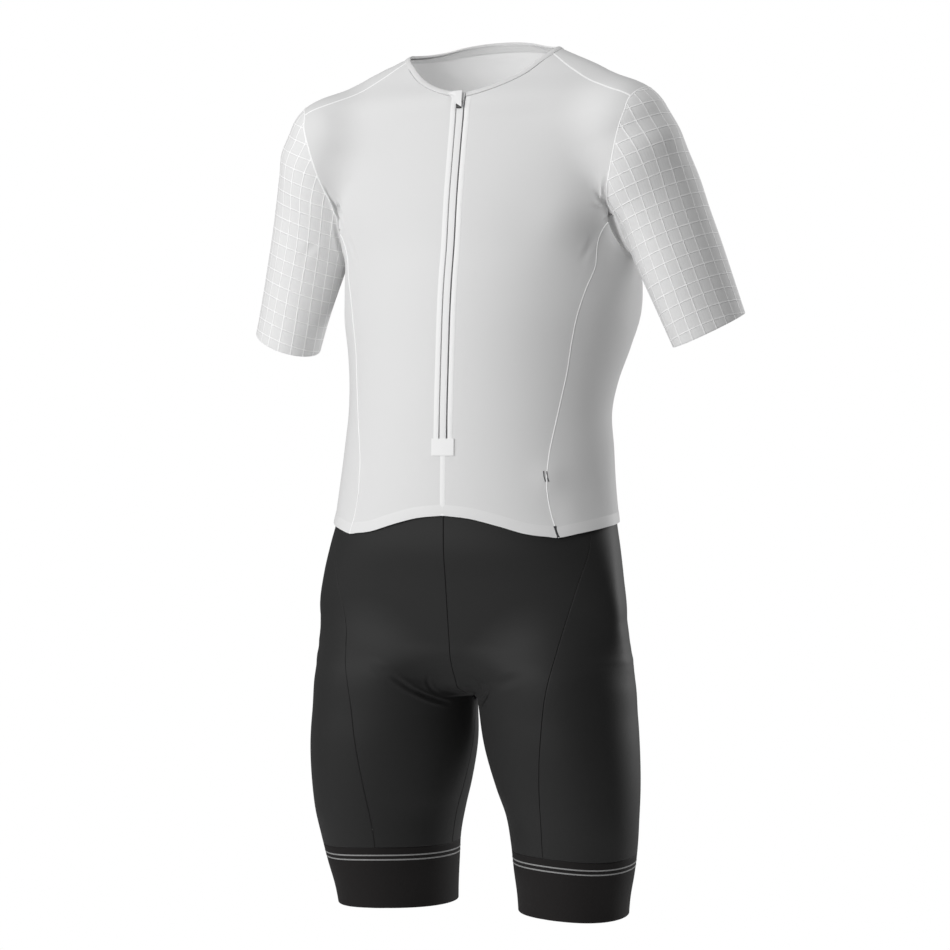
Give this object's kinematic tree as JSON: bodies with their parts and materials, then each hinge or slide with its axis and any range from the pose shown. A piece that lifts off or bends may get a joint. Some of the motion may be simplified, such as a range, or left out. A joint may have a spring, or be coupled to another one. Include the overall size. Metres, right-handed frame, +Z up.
{
  "type": "triathlon suit",
  "caption": "Short-sleeved one-piece race suit: zipped pale grey top with ribbed sleeves over black mid-thigh shorts, hollow in its worn form.",
  "frame": {"origin": "between the shoulders at the neck opening, where the wearer's neck and shoulders carry the suit", "axes": "+Z up along the wearer's spine, -Y towards the wearer's front, +X towards the wearer's left"},
  "size_m": [0.566, 0.2479, 0.9467],
  "materials": {
    "jersey_knit": "smooth matt stretch knit",
    "ribbed_sleeve_knit": "fine ribbed stretch knit with a raised white grid",
    "zip_cover": "bonded smooth tape over the zip",
    "slider_black": "matt black coated slider",
    "shorts_knit": "black stretch knit with a low sheen",
    "band_knit": "black gripper band with two thin grey stripes",
    "pad_foam": "dark brushed fleece over foam"
  },
  "bodies": {
    "root": {"front_left": "jersey_knit", "front_right": "jersey_knit", "side_left": "jersey_knit", "side_right": "jersey_knit", "back": "jersey_knit", "sleeve_left": "ribbed_sleeve_knit", "sleeve_right": "ribbed_sleeve_knit", "neck_binding": "jersey_knit", "zip_strip": "zip_cover", "zip_garage": "jersey_knit", "zip_slider": "slider_black", "zip_stop_tape": "zip_cover", "short_front_left": "shorts_knit", "short_front_right": "shorts_knit", "short_back_left": "shorts_knit", "short_back_right": "shorts_knit", "leg_band_left": "band_knit", "leg_band_right": "band_knit", "seat_pad": "pad_foam"}
  },
  "joints": []
}
